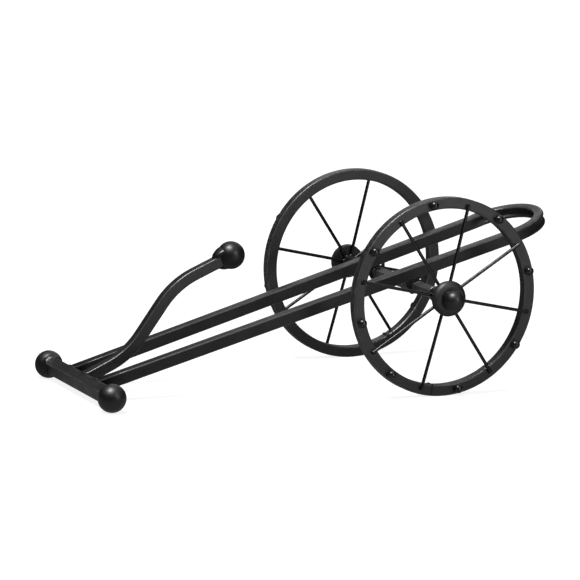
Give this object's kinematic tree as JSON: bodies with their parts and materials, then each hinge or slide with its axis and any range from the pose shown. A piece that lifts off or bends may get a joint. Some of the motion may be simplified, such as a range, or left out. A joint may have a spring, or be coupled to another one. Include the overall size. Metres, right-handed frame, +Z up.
{
  "type": "garden hose cart",
  "caption": "Wheeled garden hose cart: a bent square-tube drawbar on spoked wagon wheels, with ball feet on a crossbar and a curved horn that the hose hangs on.",
  "frame": {"origin": "on the ground, under the middle of the cart's bounding box", "axes": "+X along the cart towards the bend of the drawbar, +Y across it towards the right wheel, +Z up"},
  "size_m": [0.9274, 0.4978, 0.356],
  "materials": {
    "frame_coat": "satin black powder coat",
    "wheel_coat": "satin black powder coat",
    "hub_coat": "satin black powder coat, a little glossier",
    "zinc_plate": "bright zinc plate"
  },
  "bodies": {
    "frame": {"rail_loop": "frame_coat", "crossbar": "frame_coat", "foot_ball_left": "frame_coat", "foot_ball_right": "frame_coat", "horn": "frame_coat", "horn_ball": "frame_coat", "hanger_left": "frame_coat", "hanger_right": "frame_coat", "axle": "frame_coat", "washer_left": "zinc_plate", "washer_right": "zinc_plate", "push_nut_left": "zinc_plate", "push_nut_right": "zinc_plate"},
    "wheel_left": {"rim_left": "wheel_coat", "spokes_left": "wheel_coat", "rim_studs_left": "wheel_coat", "hub_barrel_left": "hub_coat", "hub_plate_left": "hub_coat", "hub_dome_left": "hub_coat", "hub_ball_left": "hub_coat"},
    "wheel_right": {"rim_right": "wheel_coat", "spokes_right": "wheel_coat", "rim_studs_right": "wheel_coat", "hub_barrel_right": "hub_coat", "hub_plate_right": "hub_coat", "hub_dome_right": "hub_coat", "hub_ball_right": "hub_coat"}
  },
  "joints": [
    {"name": "wheel_left_spin", "type": "hinge", "parent": "frame", "child": "wheel_left", "pos_m": [0.17333, -0.1985, 0.178], "axis": [0, 1, 0], "continuous": true},
    {"name": "wheel_right_spin", "type": "hinge", "parent": "frame", "child": "wheel_right", "pos_m": [0.17333, 0.1985, 0.178], "axis": [0, 1, 0], "continuous": true}
  ]
}
